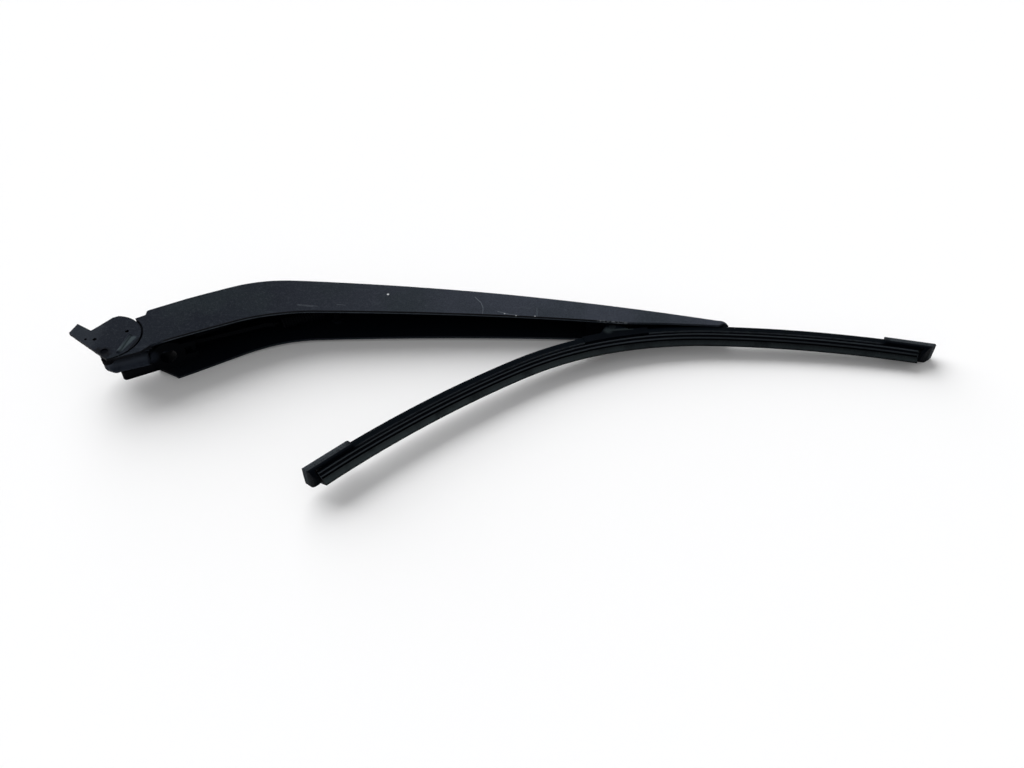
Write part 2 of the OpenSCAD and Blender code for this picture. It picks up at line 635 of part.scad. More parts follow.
// End cap: a short straight sleeve over the blade's end, closed at its outer end.
// It lies along the curve at its own middle, in a frame of [along, height, across].
module across(profile, x0, x1) {
    translate([x0, 0, 0]) rotate([90, 0, 90]) linear_extrude(x1 - x0) polygon(profile);
}
module end_cap(s_out, s_in, slant) {
    half = abs(s_in - s_out) / 2;
    mid = (s_out + s_in) / 2;
    low = -3.7;
    skirt = -0.8;
    crest = 6.9;
    nose_n = 3.2;
    end_wall = 2.25;
    wi = spoiler_half_w + fit_gap + 0.1;
    function lean(n) = slant * slope_part(n, nose_n) - half;
    end_line = [[lean(crest) + 2.4, crest + 0.1], [lean(5.6) + 0.8, 5.6], [lean(nose_n), nose_n],
        [lean(low + 1), low + 1], [lean(low) + 0.7, low - 0.1]];
    color(plastic) translate([path_p(mid)[0], path_p(mid)[1], 0]) rotate([0, 0, path_a(mid)])
        mirror([s_in > s_out ? 0 : 1, 0, 0]) difference() {
            intersection() {
                across(mirrored([[low, 2], [low + 0.7, 3.6], [skirt - 0.5, 5.2], [skirt + 0.4, cap_half_w],
                    [2.4, cap_half_w], [3.8, 5.3], [5.4, 4.2], [6.4, 2.7], [crest, 1.6]]), -half - 3, half);
                // Side view: the closed block reaches down, and the skirt stays above the rubber's shoulder
                slab(-8, 8) polygon(concat(end_line, [[lean(low) + cap_block, low - 0.1],
                    [lean(skirt - 0.6) + cap_block, skirt - 0.6], [lean(skirt) + cap_block + 0.8, skirt],
                    [half, skirt], [half, 4.8], [half - 0.9, 5.9]]));
                // Plan view: the closed end is a little narrower
                translate([0, 10, 0]) rotate([90, 0, 0]) linear_extrude(20)
                    polygon(mirrored([[-half - 1, 4], [-half + 1, cap_half_w], [half + 1, cap_half_w]]));
            }
            // Cavity, which follows the closed end
            intersection() {
                across(mirrored([[low - 1, wi], [2.7, wi], [4, 4.2], [4.6, 3.1], [5.2, 0.9]]),
                    -half - 3, half + 1);
                slab(-8, 8) polygon([[lean(8) + end_wall, 8], [lean(nose_n) + end_wall, nose_n],
                    [lean(skirt - 0.5) + end_wall + 0.1, skirt - 0.5],
                    [half + 1, skirt - 0.5], [half + 1, 8]]);
            }
        }
}
module end_cap_left() end_cap(-blade_left, -blade_left + cap_len, left_slant);
module end_cap_right() end_cap(blade_right, blade_right - cap_len, right_slant);

mounting_head();
hinge_plate();
plate_stud();
hinge_pin();
hinge_bush();
hinge_washer();
pin_clip();
tension_spring();
spring_hook();
spring_anchor_pin();
arm_shell();
blade_adapter();
adapter_button();
blade_pivot_pin();
connector_base();
connector_cover();
spoiler_left();
spoiler_right();
flexor_upper();
flexor_lower();
wiper_rubber();
end_cap_left();
end_cap_right();
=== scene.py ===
"""Rear wiper arm with its flat blade, dressed for the photograph. Metres, in the frame of the CAD."""
import json
import math
import bpy
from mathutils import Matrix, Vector


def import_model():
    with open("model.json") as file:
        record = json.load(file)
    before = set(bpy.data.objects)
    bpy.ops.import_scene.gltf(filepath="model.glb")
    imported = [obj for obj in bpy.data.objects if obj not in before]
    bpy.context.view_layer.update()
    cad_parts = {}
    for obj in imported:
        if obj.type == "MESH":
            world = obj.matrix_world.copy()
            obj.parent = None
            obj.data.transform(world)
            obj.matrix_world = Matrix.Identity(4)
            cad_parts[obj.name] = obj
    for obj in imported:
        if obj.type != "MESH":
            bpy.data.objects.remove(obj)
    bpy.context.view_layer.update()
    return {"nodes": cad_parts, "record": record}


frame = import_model()

# Camera of the photograph
CAMERA_AT = (0.2082, -0.3661, 0.3497)
LOOK_AT = (0.196, -0.0163, -0.0003)
LENS = 31.64
SENSOR = 36.0
CLIP = (0.01, 20.0)

# Ground: the arm lies on the edge of its root and on the blade's right end
GROUND_X = 0.006
GROUND_Z = -0.01527
GROUND_RISE = 0.0223

# Floor and light
FLOOR_REACH = 6.0
FLOOR_COLOUR = (0.86, 0.86, 0.865, 1)
FLOOR_ROUGH = 0.9
FLOOR_LIFT = 0.06
WORLD_LIGHT = 0.38
SUN_FROM = (-0.8, 1.0, 0.8)
SUN_SPREAD = 70.0
SUN_LIGHT = 4.15

# Arm shell, in the plane of the arm
ROOT_SLOPE = math.radians(30)
KNEE_X, KNEE_Y, KNEE_R = 0.065, 0.0561, 0.076
BACK_R = 1.5
RIM_X, RIM_Y, RIM_R = 0.180, 0.030, 1.9
RIM_KNEE_X, RIM_KNEE_R = 0.080, 0.099
HALF_WIDTHS = ((0.008, 0.01525), (0.060, 0.0122), (0.190, 0.0094), (0.316, 0.0059))

# The blade's curve: its pivot, then arcs to both sides as (length, turn)
PIVOT = (0.2526, 0.0273)
PIVOT_HEIGHT = 0.0076
PIVOT_SLOPE = 14.3
RIGHT_ARCS = ((0.055, -14.0), (0.129, -12.2))
LEFT_ARCS = ((0.062, 18.8), (0.126, 12.5))
BLADE_ENDS = (-0.193, 0.1815)
CAP_LEN = 0.028

# Colours in sRGB from 0 to 255
PAINT_ROOT = (12, 17, 26)
PAINT_TIP_SHEEN = (47, 51, 60)
PAINT_CLOUD = (30, 37, 40)
PAINT_BRIGHT = (66, 72, 78)
PAINT_DARK = (14, 17, 22)
HEM_SHADE = (1, 2, 5)
HEM_HIGHLIGHT = (56, 62, 68)
HEM_LOW = (20, 23, 24)
RIDGE_HIGHLIGHT_COLOUR = (56, 65, 69)
STAIN_AND_SHADE = (3, 4, 8)
SCRATCH = (112, 118, 124)
CHIP = (196, 200, 204)
INSIDE_SHADE = (4, 7, 13)
IN_SHADE = (1, 2, 4)
CAST = (34, 39, 48)
CAST_DARK = (18, 21, 27)
CAST_LIGHT = (66, 72, 82)
CAST_SHADE = (7, 8, 12)
SPOILER = (2, 5, 9)
SPOILER_LIGHT = (26, 31, 35)
LIP = (29, 34, 36)
LIP_LEFT = (44, 50, 52)
LIP_DARK = (7, 9, 12)
LIP_LIGHT = (58, 62, 62)
FOLD_GLINT = (62, 68, 73)
GROOVE = (1, 2, 5)
CAP = (2, 4, 8)
CAP_LIGHT = (51, 55, 59)
CAP_GRAIN = (14, 17, 21)
PLASTIC = (1, 3, 6)
PLASTIC_LIGHT = (5, 8, 13)
EAR_LIGHT = (34, 40, 42)
PIN_BLACK = (26, 31, 34)
PIN_LIGHT = (40, 45, 48)
STEEL = (120, 122, 126)
STEEL_LIGHT = (150, 152, 156)
BLACK_WIRE = (2, 3, 5)
BLACK_WIRE_LIGHT = (5, 6, 9)
STRIP = (58, 60, 64)
STRIP_LIGHT = (84, 86, 90)
BRONZE = (128, 104, 70)
BRONZE_LIGHT = (150, 124, 86)
WASHER = (110, 110, 104)
WASHER_DARK = (90, 89, 83)

# Share of a full gloss: the paint is matt, and the rubber and plastic still more so
SHEEN = 0.055
DULL = 0.02

# Spots as (place, radius, soft edge), and lines in the plane of the arm as (from, to, width)
SPECK = ((0.1205, 0.0449, 0.0110), 0.0005, 0.0003)
CHIPS = (
    ((0.1967, 0.0303, 0.0092), 0.0002, 0.0004),
    ((0.2077, 0.0305, 0.0089), 0.0002, 0.0004),
    ((0.1900, 0.0316, 0.0094), 0.0002, 0.0004),
)
SCRATCHES = (
    ((0.1716, 0.0460), (0.1760, 0.0404), 0.00030),
    ((0.1758, 0.0408), (0.1774, 0.0354), 0.00026),
    ((0.1773, 0.0358), (0.1773, 0.0305), 0.00020),
    ((0.1855, 0.0334), (0.1925, 0.0312), 0.00030),
    ((0.1910, 0.0315), (0.1990, 0.0303), 0.00024),
    ((0.2087, 0.0385), (0.2089, 0.0300), 0.00016),
    ((0.0685, 0.0326), (0.0821, 0.0316), 0.00018),
    ((0.0690, 0.0318), (0.0800, 0.0309), 0.00014),
    ((0.0916, 0.0340), (0.0975, 0.0335), 0.00016),
)
# Painted highlights on the plate's raised ridge and a painted shadow beside it, and the stain on and
# round the stud
RIDGE_HIGHLIGHT_STROKES = (
    ((-0.0135, -0.0010), (-0.0188, -0.0150), 0.0016),
    ((-0.0155, -0.0012), (-0.0182, -0.0140), 0.0016),
)
RIDGE_SHADOW = ((-0.0109, -0.0020), (-0.0138, -0.0130), 0.0007)
STUD = ((-0.0267, -0.0147, 0.0152), 0.0016, 0.0036)
STUD_STREAK = ((-0.0328, -0.0132), (-0.0222, -0.0182), 0.0036)
# Painted highlights: a fold of the casting that catches some light, and the adapter's ear with its edge
CAST_FOLD = ((-0.0068, -0.0058, 0.0030), 0.0012, 0.0042)
EAR = ((0.2500, 0.0238, 0.0052), 0.0010, 0.0026)
EAR_EDGE = ((0.2490, 0.0238), (0.2650, 0.0258), 0.0012)

# Soft limits of the masks, as (from, to). Along the arm, in x:
SHEEN_RUN = (0.0, 0.25)
TAB_RUN = (-0.030, -0.038)
PLATE_END = (-0.004, -0.002)
SHELL_START = (0.001, 0.004)
NECK_END = (0.003, 0.004)
NOSE_END = (0.311, 0.312)
BOSS_START = (-0.0095, -0.0085)
RUBBED_RUN = (0.246, 0.264)
RUBBED_SOFT = 0.003
# Across the arm, in z:
UPPER_FACE = (0.004, 0.005)
UPPER_SIDE = (0.0, 0.001)
LOWER_SIDE = (-0.001, 0.001)
PLATE_FACE = (0.0149, 0.0151)
BAR_LIT = (0.0010, 0.0036)
ABOVE_BAR = (0.0046, 0.0052)
BELOW_BAR = (-0.0046, -0.0040)
# Up from the shell's rim, and in from its outer faces:
EDGE_UP = (0.0001, 0.0004)
HEM_UP = (0.0003, 0.0008)
RUBBED_UP = (0.0003, 0.0007)
HEM_DEPTH = (0.0006, 0.0008)
INSIDE_DEPTH = (0.0012, 0.0015)
# Up from the blade's curve:
LIP_BASE = (-0.0078, -0.0050)
HEEL_UP = (-0.0036, -0.0034)
SPOILER_FOOT = (-0.0008, -0.0005)
CAP_BACK = (0.0006, 0.0012)
# Out from the blade's middle plane:
LIP_OUT = (0.0017, 0.0019)
HEEL_OUT = (0.0014, 0.0020)
SHOULDER_OUT = (0.0028, 0.0034)
NECK_OUT = (0.00049, 0.00051)
NECK_SOFT = 0.00001
# Along the blade, in x:
LIP_LEFT_RUN = (0.32, 0.14)
LIP_DARK_RUN = (0.20, 0.34)
HEEL_RUN = (0.24, 0.36)
# Before a cap's closed end, where it grows light:
CAP_TIP = (0.0016, 0.0004)
# Length over which a light line fades at a cap's inner end
LINE_FADE = 0.004
# Of a face's normal: turned across the arm, and towards its back
ACROSS = (0.45, 0.7)
BACKWARD = (0.2, 0.5)

# Shares of a line's half length and of its width up to which it is full
FULL_LENGTH = 0.8
FULL_WIDTH = 0.3

# Depths of the reliefs in metres
METAL_RELIEF = 0.00002
FINE_RELIEF = 0.00003
RUBBER_RELIEF = 0.00004
PAINT_RELIEF = 0.00005
CAST_RELIEF = 0.00008
CAP_RELIEF = 0.00015

# Curves of x in the materials: their range, their points, and how far from 0 they may go
CURVE_X = (-0.06, 0.34)
CURVE_POINTS = 80
CURVE_REACH = 0.1

# A hair past a point on the blade's curve, which tells the left side of the pivot from the right
JUST_PAST = 1e-9


def unit(degrees):
    """The direction at that angle."""
    a = math.radians(degrees)
    return Vector((math.cos(a), math.sin(a)))


def back_y(x):
    """Height of the shell's back over the glass side."""
    knee_from = KNEE_X - KNEE_R * math.sin(ROOT_SLOPE)
    if x < knee_from:
        at_knee = KNEE_Y - KNEE_R + KNEE_R * math.cos(ROOT_SLOPE)
        return at_knee + (x - knee_from) * math.tan(ROOT_SLOPE)
    r = KNEE_R if x < KNEE_X else BACK_R
    return KNEE_Y - r + math.sqrt(r * r - (x - KNEE_X) ** 2)


def rim_y(x):
    """Height of the shell's rim."""
    def long_rim(u):
        return RIM_Y - RIM_R + math.sqrt(RIM_R ** 2 - (u - RIM_X) ** 2)
    slope = math.asin((RIM_X - RIM_KNEE_X) / RIM_R)
    mid_x = RIM_KNEE_X + RIM_KNEE_R * math.sin(slope)
    mid_y = long_rim(RIM_KNEE_X) - RIM_KNEE_R * math.cos(slope)
    start = mid_x - RIM_KNEE_R * math.sin(ROOT_SLOPE)
    if x < start:
        return mid_y + RIM_KNEE_R * math.cos(ROOT_SLOPE) + (x - start) * math.tan(ROOT_SLOPE)
    if x < RIM_KNEE_X:
        return mid_y + math.sqrt(RIM_KNEE_R ** 2 - (x - mid_x) ** 2)
    return long_rim(x)


def half_w(x):
    """Half of the shell's width."""
    if x <= HALF_WIDTHS[0][0]:
        return HALF_WIDTHS[0][1]
    for (x0, w0), (x1, w1) in zip(HALF_WIDTHS, HALF_WIDTHS[1:]):
        if x <= x1:
            return w0 + (w1 - w0) * (x - x0) / (x1 - x0)
    return HALF_WIDTHS[-1][1]


def blade_at(s):
    """Place and slope in degrees on the blade's curve, s metres to the right of its pivot."""
    back = 0 if s >= 0 else 180
    arcs = RIGHT_ARCS if s >= 0 else LEFT_ARCS
    place = Vector(PIVOT) - PIVOT_HEIGHT * unit(PIVOT_SLOPE + 90)
    heading = PIVOT_SLOPE + back
    left = abs(s)
    for length, turn in arcs:
        run = left if (length, turn) == arcs[-1] else min(left, length)
        onward = heading + turn * run / length
        r = length / math.radians(turn)
        a, b = math.radians(heading), math.radians(onward)
        place = place + r * Vector((math.sin(b) - math.sin(a), math.cos(a) - math.cos(b)))
        heading = onward
        left -= run
    return place, heading - back


def linear(c):
    """An sRGB colour as Blender's linear one."""
    def one(v):
        v /= 255
        return v / 12.92 if v <= 0.04045 else ((v + 0.055) / 1.055) ** 2.4
    return (one(c[0]), one(c[1]), one(c[2]), 1.0)


class Look:
    """A procedural material that is built up in layers on object coordinates."""

    def __init__(self, name, base, rough=0.6, metallic=0.0, specular=SHEEN):
        self.mat = bpy.data.materials.new(name)
        self.mat.use_nodes = True
        self.tree = self.mat.node_tree
        self.shader = self.tree.nodes["Principled BSDF"]
        self.shader.inputs["Base Color"].default_value = linear(base)
        self.shader.inputs["Metallic"].default_value = metallic
        self.shader.inputs["Specular IOR Level"].default_value = specular
        self.shader.inputs["Roughness"].default_value = rough
        self.base = base
        coords = self.node("ShaderNodeTexCoord")
        self.where = coords.outputs["Object"]
        self.x, self.y, self.z = self.parts(self.where)
        self.normal = coords.outputs["Normal"]
        self.colour = None

    def node(self, kind, **values):
        """A node with its settings, and with its inputs' values by their names."""
        n = self.tree.nodes.new(kind)
        for k, v in values.items():
            if hasattr(n, k):
                setattr(n, k, v)
            else:
                n.inputs[k.replace("_", " ")].default_value = v
        return n

    def link(self, a, b):
        self.tree.links.new(a, b)

    def parts(self, vector):
        """x, y and z of a vector."""
        n = self.node("ShaderNodeSeparateXYZ")
        self.link(vector, n.inputs[0])
        return n.outputs

    def noise(self, scale, detail=3.0, rough=0.55, stretch=None):
        """Noise from 0 to 1; scale is in bumps per metre."""
        n = self.node("ShaderNodeTexNoise", Scale=scale, Detail=detail, Roughness=rough)
        src = self.where
        if stretch:
            m = self.node("ShaderNodeMapping", Scale=stretch)
            self.link(src, m.inputs["Vector"])
            src = m.outputs["Vector"]
        self.link(src, n.inputs["Vector"])
        return n.outputs["Fac"]

    def math(self, op, a, b=0.0):
        """One operation on two values, each a socket or a number."""
        n = self.node("ShaderNodeMath", operation=op)
        for i, v in enumerate((a, b)):
            if isinstance(v, (int, float)):
                n.inputs[i].default_value = v
            else:
                self.link(v, n.inputs[i])
        return n.outputs[0]

    def times(self, *values):
        """The product of all values."""
        out = values[0]
        for v in values[1:]:
            out = self.math("MULTIPLY", out, v)
        return out

    def opposite(self, mask):
        """1 where the mask is 0."""
        return self.math("SUBTRACT", 1.0, mask)

    def step(self, value, low, high, to_low=0.0, to_high=1.0):
        """value from low to high becomes to_low to to_high, smoothly."""
        n = self.node("ShaderNodeMapRange", interpolation_type="SMOOTHSTEP", From_Min=low, From_Max=high,
                      To_Min=to_low, To_Max=to_high)
        self.link(value, n.inputs["Value"])
        return n.outputs["Result"]

    def below(self, value, low, high):
        """1 below low, and 0 above high."""
        return self.step(value, low, high, 1.0, 0.0)

    def band(self, value, low, high, soft):
        """1 between low and high."""
        return self.times(self.step(value, low - soft, low), self.below(value, high, high + soft))

    def curve(self, f):
        """f of x in metres, as a smooth curve; f stays within CURVE_REACH of 0."""
        low, high = CURVE_X
        shift = self.node("ShaderNodeMapRange", From_Min=low, From_Max=high)
        self.link(self.x, shift.inputs["Value"])
        n = self.node("ShaderNodeFloatCurve")
        line = n.mapping.curves[0]
        for i in range(CURVE_POINTS + 1):
            t = i / CURVE_POINTS
            p = (t, 0.5 + f(low + (high - low) * t) / (2 * CURVE_REACH))
            if i in (0, CURVE_POINTS):
                line.points[0 if i == 0 else -1].location = p
            else:
                line.points.new(*p)
        n.mapping.update()
        self.link(shift.outputs["Result"], n.inputs["Value"])
        return self.times(self.math("SUBTRACT", n.outputs[0], 0.5), 2 * CURVE_REACH)

    def mix(self, mask, other, share=1.0):
        """Mixes up to that share of another colour in where the mask is 1."""
        n = self.node("ShaderNodeMix", data_type="RGBA")
        a, b = [s for s in n.inputs if s.type == "RGBA"]
        if self.colour is None:
            a.default_value = linear(self.base)
        else:
            self.link(self.colour, a)
        b.default_value = linear(other)
        self.link(mask if share == 1.0 else self.times(mask, share), n.inputs[0])
        self.colour = [s for s in n.outputs if s.type == "RGBA"][0]

    def fleck(self, noise, low, high, share, other):
        """Mixes up to that share of another colour in as a noise goes from low to high."""
        self.mix(self.step(noise, low, high, 0.0, share), other)

    def bump(self, height, depth):
        """A relief of that depth in metres."""
        b = self.node("ShaderNodeBump", Strength=1.0, Distance=1.0)
        self.link(self.times(height, depth), b.inputs["Height"])
        self.link(b.outputs["Normal"], self.shader.inputs["Normal"])

    def gloss(self, mask, low, high):
        """Roughness from low to high as the mask goes from a quarter to three quarters."""
        self.link(self.step(mask, 0.25, 0.75, low, high), self.shader.inputs["Roughness"])

    def near(self, point, radius, soft):
        """1 within radius of a point, in metres."""
        d = self.node("ShaderNodeVectorMath", operation="DISTANCE")
        self.link(self.where, d.inputs[0])
        d.inputs[1].default_value = point
        return self.below(d.outputs["Value"], radius, radius + soft)

    def frame_at(self, place, degrees):
        """Distances along and across a line in the plane of the arm, from a place on it."""
        m = self.node("ShaderNodeMapping", vector_type="TEXTURE")
        m.inputs["Location"].default_value = (place[0], place[1], 0.0)
        m.inputs["Rotation"].default_value = (0, 0, math.radians(degrees))
        self.link(self.where, m.inputs["Vector"])
        along, across, _ = self.parts(m.outputs["Vector"])
        return along, across

    def stroke(self, a, b, width):
        """1 along a thin line from a to b on the arm's upper face, softer towards its ends and sides."""
        a, b = Vector(a), Vector(b)
        along, across = self.frame_at((a + b) / 2, math.degrees(math.atan2(b.y - a.y, b.x - a.x)))
        half = (b - a).length / 2
        return self.times(self.below(self.math("ABSOLUTE", along), half * FULL_LENGTH, half),
                          self.below(self.math("ABSOLUTE", across), width * FULL_WIDTH, width),
                          self.step(self.z, *UPPER_FACE))

    def upward(self):
        """1 on faces that look up or down, across the arm and the blade."""
        return self.step(self.math("ABSOLUTE", self.parts(self.normal)[2]), *ACROSS)

    def sideways(self):
        """1 on faces that stand upright on the floor."""
        return self.opposite(self.upward())

    def backward(self):
        """1 on faces that look to the back of the arm, away from the glass."""
        return self.step(self.parts(self.normal)[1], *BACKWARD)

    def done(self):
        """The material, with its layers of colour joined to the shader."""
        self.link(self.colour, self.shader.inputs["Base Color"])
        return self.mat


def side_depth(look):
    """How far in from the shell's side faces, in metres."""
    return look.math("SUBTRACT", look.curve(half_w), look.math("ABSOLUTE", look.z))


def in_channel(look):
    """1 on what lies inside the shell's channel."""
    back_depth = look.math("SUBTRACT", look.curve(back_y), look.y)
    deep = look.step(look.math("MINIMUM", side_depth(look), back_depth), *INSIDE_DEPTH)
    # The neck at the root is narrower, so its back would count as inside
    neck_back = look.times(look.below(look.x, *NECK_END), look.backward())
    return look.times(deep, look.below(look.x, *NOSE_END), look.opposite(neck_back))


def mottle(look, cloud, grain, speckle):
    """Cloudy paint with a fine grain, made lighter towards the tip by a painted sheen."""
    rub = look.noise(260.0, 3.0, stretch=(0.25, 1.0, 1.0))
    # Painted sheen: the paint grows lighter from the root towards the tip
    look.mix(look.step(look.x, *SHEEN_RUN), PAINT_TIP_SHEEN)
    look.fleck(cloud, 0.42, 0.64, 0.55, PAINT_CLOUD)
    look.fleck(grain, 0.50, 0.30, 0.6, PAINT_DARK)
    look.fleck(grain, 0.50, 0.72, 0.28, PAINT_BRIGHT)
    look.fleck(speckle, 0.50, 0.70, 0.12, PAINT_BRIGHT)
    look.fleck(rub, 0.62, 0.74, 0.12, PAINT_BRIGHT)


def plate_marks(look, speckle):
    """Painted highlights along the plate's ridge, a painted shadow beside it, a stain at the stud and a
    lighter tab.
    """
    # Painted highlight on the ridge and on its flank
    for line in RIDGE_HIGHLIGHT_STROKES:
        look.mix(look.stroke(*line), RIDGE_HIGHLIGHT_COLOUR, 0.8)
    # Painted shadow beside the ridge
    look.mix(look.stroke(*RIDGE_SHADOW), STAIN_AND_SHADE, 0.9)
    stain = look.math("MAXIMUM", look.near(*STUD), look.stroke(*STUD_STREAK))
    look.mix(look.times(stain, look.step(speckle, 0.35, 0.55, 0.3, 1.0)), STAIN_AND_SHADE)
    look.mix(look.step(look.x, *TAB_RUN), PAINT_BRIGHT, 0.15)


def hem(look, speckle):
    """The rim in painted light and shade: a dark line low on the sides, then an edge that is dark
    outside and light inside.
    """
    up = look.math("SUBTRACT", look.y, look.curve(rim_y))
    shell = look.step(look.x, *SHELL_START)
    patchy = look.step(look.noise(300.0, 3.0), 0.3, 0.6, 0.5, 1.0)
    edge = look.times(look.below(up, *EDGE_UP), shell, look.sideways())
    # Painted shade: a dark line on the sides just above the rim
    look.mix(look.times(look.below(up, *HEM_UP), shell, look.upward()), HEM_SHADE)
    # Painted highlight on the rim's edge, broken up in patches
    look.mix(look.times(edge, patchy), HEM_HIGHLIGHT)
    # Painted shade on the outer part of the rim's edge
    look.mix(look.times(edge, look.below(side_depth(look), *HEM_DEPTH)), HEM_SHADE)
    # A rubbed stretch near the adapter, and the lower side's edge, which gets less light
    rubbed = look.times(look.below(up, *RUBBED_UP), look.band(look.x, *RUBBED_RUN, RUBBED_SOFT),
                        look.step(look.z, *UPPER_SIDE))
    look.mix(look.times(rubbed, look.step(speckle, 0.42, 0.6)), SCRATCH, 0.6)
    look.mix(look.times(edge, look.below(look.z, *LOWER_SIDE)), HEM_LOW)


def arm_paint():
    """The shell and its plate: matt paint with its wear and a painted sheen towards the tip, painted
    highlights and shade at the ridge and the rim, and the inside of the channel darkened as painted
    shade.
    """
    look = Look("arm_paint", PAINT_ROOT)
    cloud = look.noise(24.0, 4.0)
    grain = look.noise(1500.0, 3.0, 0.7)
    speckle = look.noise(520.0, 3.0, 0.6)
    mottle(look, cloud, grain, speckle)
    for line in SCRATCHES:
        look.mix(look.stroke(*line), SCRATCH, 0.4)
    plate_marks(look, speckle)
    hem(look, speckle)
    # Painted shade on the plate's own edge and under it
    look.mix(look.times(look.below(look.x, *PLATE_END), look.below(look.z, *PLATE_FACE),
                        look.opposite(look.backward())), STAIN_AND_SHADE)
    # Painted shade: what lies inside the channel is drawn near black
    look.mix(in_channel(look), INSIDE_SHADE)
    look.mix(look.near(*SPECK), CHIP)
    for spot in CHIPS:
        look.mix(look.near(*spot), CHIP, 0.5)
    look.gloss(cloud, 0.54, 0.68)
    look.bump(grain, PAINT_RELIEF)
    return look.done()


def head_paint():
    """The bar is lit; the block under it and the boss in the channel are in deep shade."""
    look = Look("head_paint", CAST, specular=DULL)
    cloud = look.noise(160.0, 4.0)
    grain = look.noise(1500.0, 3.0)
    look.fleck(cloud, 0.42, 0.7, 0.7, CAST_DARK)
    look.mix(look.step(look.z, *BAR_LIT), CAST_LIGHT, 0.7)
    look.mix(look.step(look.z, *ABOVE_BAR), CAST_SHADE)
    look.fleck(grain, 0.6, 0.85, 0.4, CAST_LIGHT)
    look.mix(look.below(look.z, *BELOW_BAR), CAST_SHADE)
    look.mix(look.step(look.x, *BOSS_START), IN_SHADE)
    look.mix(look.near(*CAST_FOLD), CAST, 0.5)
    look.gloss(cloud, 0.5, 0.64)
    look.bump(grain, CAST_RELIEF)
    return look.done()


def stud_paint():
    """Nearly black, with a fine grain."""
    look = Look("stud_paint", STAIN_AND_SHADE, specular=DULL)
    grain = look.noise(900.0, 3.0)
    look.fleck(grain, 0.5, 0.7, 0.8, CAST_SHADE)
    look.bump(grain, PAINT_RELIEF)
    return look.done()


def arc_height(look, flat, arc_start, r):
    """Height over an arc that bends down with radius r from a start, given as its place and slope."""
    place, slope = arc_start
    centre = place - r * unit(slope + 90)
    d = look.node("ShaderNodeVectorMath", operation="DISTANCE")
    look.link(flat, d.inputs[0])
    d.inputs[1].default_value = (centre.x, centre.y, 0.0)
    return look.math("SUBTRACT", d.outputs["Value"], r)


def beyond(look, x, way, before, after):
    """One value up to x and another beyond it; way is 1 to the right and -1 to the left."""
    n = look.node("ShaderNodeMix", data_type="FLOAT")
    past = look.math("GREATER_THAN" if way > 0 else "LESS_THAN", look.x, x)
    look.link(past, n.inputs["Factor"])
    look.link(before, n.inputs["A"])
    look.link(after, n.inputs["B"])
    return n.outputs["Result"]


def blade_height(look):
    """Height over the blade's curve, from the arcs it is made of."""
    flat = look.node("ShaderNodeCombineXYZ")
    look.link(look.x, flat.inputs[0])
    look.link(look.y, flat.inputs[1])
    height = None
    for arcs, way in ((RIGHT_ARCS, 1), (LEFT_ARCS, -1)):
        s = 0.0
        for length, turn in arcs:
            start = blade_at(s + way * JUST_PAST)
            here = arc_height(look, flat.outputs[0], start, length / math.radians(abs(turn)))
            height = here if height is None else beyond(look, start[0].x, way, height, here)
            s += way * length
    return height


def wiper_rubber():
    """The lip is the lightest; the undersides of the folds catch the light, and the rest is dark."""
    look = Look("wiper_rubber", GROOVE, rough=0.62, specular=DULL)
    out = look.math("ABSOLUTE", look.z)
    up = blade_height(look)
    cloud = look.noise(90.0, 4.0)
    fine = look.noise(1900.0, 3.0)
    lip = look.times(look.below(out, *LIP_OUT), look.upward())
    # Painted shade: the lip grows darker towards its base under the heel, more so towards the right
    base = look.times(look.step(up, *LIP_BASE), look.step(look.x, *LIP_DARK_RUN, 0.4, 0.8))
    look.mix(lip, LIP)
    look.mix(look.times(lip, look.step(look.x, *LIP_LEFT_RUN)), LIP_LEFT)
    # Painted shade at the lip's base
    look.mix(look.times(lip, base), LIP_DARK)
    look.mix(look.times(lip, look.step(cloud, 0.45, 0.7)), LIP_DARK, 0.6)
    look.mix(look.times(lip, look.step(fine, 0.55, 0.75)), LIP_LIGHT, 0.6)
    # Painted shade: the neck, deep between the lip and the heel, is drawn as dark as the grooves
    look.mix(look.band(out, *NECK_OUT, NECK_SOFT), GROOVE)
    heel = look.times(look.below(up, *HEEL_UP), look.step(out, *HEEL_OUT),
                      look.step(look.x, *HEEL_RUN, 1.0, 0.6))
    fold = look.math("MAXIMUM", heel, look.step(out, *SHOULDER_OUT))
    # Painted highlights: light lines along the heel's underside and the shoulder
    look.mix(look.times(fold, look.sideways()), FOLD_GLINT)
    look.gloss(cloud, 0.52, 0.7)
    look.bump(fine, RUBBER_RELIEF)
    return look.done()


def spoiler_rubber(name, end):
    """Nearly black; its underside catches the light up to the cap. end is the blade's end in metres."""
    way = 1 if end > 0 else -1
    look = Look(name, SPOILER, specular=DULL)
    cap, _ = blade_at(end - way * CAP_LEN)
    free = look.step(look.times(look.math("SUBTRACT", cap.x, look.x), way), 0.0, LINE_FADE)
    cloud = look.noise(70.0, 4.0)
    fine = look.noise(2000.0, 3.0)
    broken = look.step(look.noise(160.0, 3.0), 0.3, 0.5, 0.6, 1.0)
    foot = look.times(look.below(blade_height(look), *SPOILER_FOOT), look.sideways())
    # Painted highlight along the spoiler's foot, faded out towards the cap
    look.mix(look.times(foot, free, broken), FOLD_GLINT)
    look.fleck(cloud, 0.5, 0.75, 0.4, GROOVE)
    look.fleck(fine, 0.56, 0.75, 0.3, SPOILER_LIGHT)
    look.gloss(cloud, 0.5, 0.68)
    look.bump(fine, FINE_RELIEF)
    return look.done()


